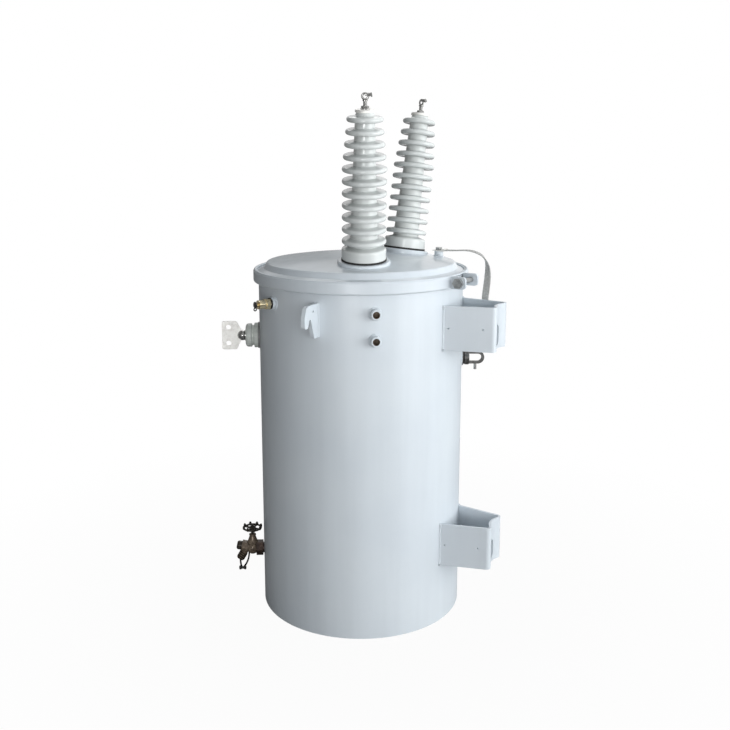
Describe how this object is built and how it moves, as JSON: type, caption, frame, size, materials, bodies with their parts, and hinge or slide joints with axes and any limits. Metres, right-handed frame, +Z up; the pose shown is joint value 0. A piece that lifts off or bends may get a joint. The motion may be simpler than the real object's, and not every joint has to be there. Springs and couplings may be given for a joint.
{
  "type": "pole mounted transformer",
  "caption": "Round oil filled distribution transformer with leaning porcelain bushings, side spade terminals, hanger brackets for a pole, lifting hooks and a drain valve.",
  "frame": {"origin": "centre of the tank's foot, on the surface it stands on", "axes": "+Z up the tank's axis, +X towards the pole that the hanger brackets bolt to"},
  "size_m": [0.7375, 0.705, 1.3988],
  "materials": {
    "tank_paint": "satin light blue grey paint",
    "porcelain": "glossy light grey glaze",
    "bushing_grey": "semi gloss grey moulded resin",
    "black_rubber": "matte black",
    "tinned_copper": "tin plated",
    "galvanized_steel": "galvanized",
    "brass": "turned brass",
    "bronze": "dark cast bronze",
    "braid": "tinned copper braid",
    "lead": "dull dark wire and lead",
    "oil": "sealed inside, not seen"
  },
  "bodies": {
    "tank": {"tank_wall": "tank_paint", "tank_rim": "tank_paint", "tank_base": "tank_paint", "core_and_oil_fill": "oil", "cover": "tank_paint", "cover_gasket": "black_rubber", "clamp_band": "tank_paint", "clamp_bolt": "galvanized_steel", "upper_hanger": "tank_paint", "lower_hanger": "tank_paint", "lifting_lug_left": "tank_paint", "lifting_lug_right": "tank_paint", "relief_valve_boss": "tank_paint", "relief_valve_washer": "black_rubber", "relief_valve_body": "brass", "drain_nipple": "bronze", "drain_body": "bronze", "drain_end_cap": "bronze", "drain_plug": "bronze", "drain_bonnet": "bronze", "seal_wire": "lead", "lead_seal": "lead", "ground_pad": "tank_paint", "ground_ring": "black_rubber", "ground_connector": "galvanized_steel", "cover_ground_boss": "tank_paint", "cover_ground_bolt": "galvanized_steel", "ground_strap": "braid", "strap_lugs": "tinned_copper", "strap_bolt": "galvanized_steel", "hv_gasket_left": "black_rubber", "hv_bushing_left": "porcelain", "hv_terminal_left": "tinned_copper", "lv_gasket_left": "black_rubber", "lv_bushing_left": "bushing_grey", "lv_terminal_left": "tinned_copper", "arrester_boss_upper_left": "tank_paint", "arrester_boss_lower_left": "tank_paint", "hv_gasket_right": "black_rubber", "hv_bushing_right": "porcelain", "hv_terminal_right": "tinned_copper", "lv_gasket_right": "black_rubber", "lv_bushing_right": "bushing_grey", "lv_terminal_right": "tinned_copper", "arrester_boss_upper_right": "tank_paint", "arrester_boss_lower_right": "tank_paint"},
    "handwheel": {"drain_handwheel": "bronze"},
    "relief_pull": {"relief_valve_pull": "galvanized_steel"}
  },
  "joints": [
    {"name": "handwheel_turn", "type": "hinge", "parent": "tank", "child": "handwheel", "pos_m": [-0.27542, -0.14337, 0.138], "axis": [0, 0, 1], "range_deg": [0, 1080]},
    {"name": "relief_pull_slide", "type": "slide", "parent": "tank", "child": "relief_pull", "axis": [-0.4848, -0.8746, 0], "range_m": [0, 0.005], "stiffness_N_per_m": 4000}
  ]
}
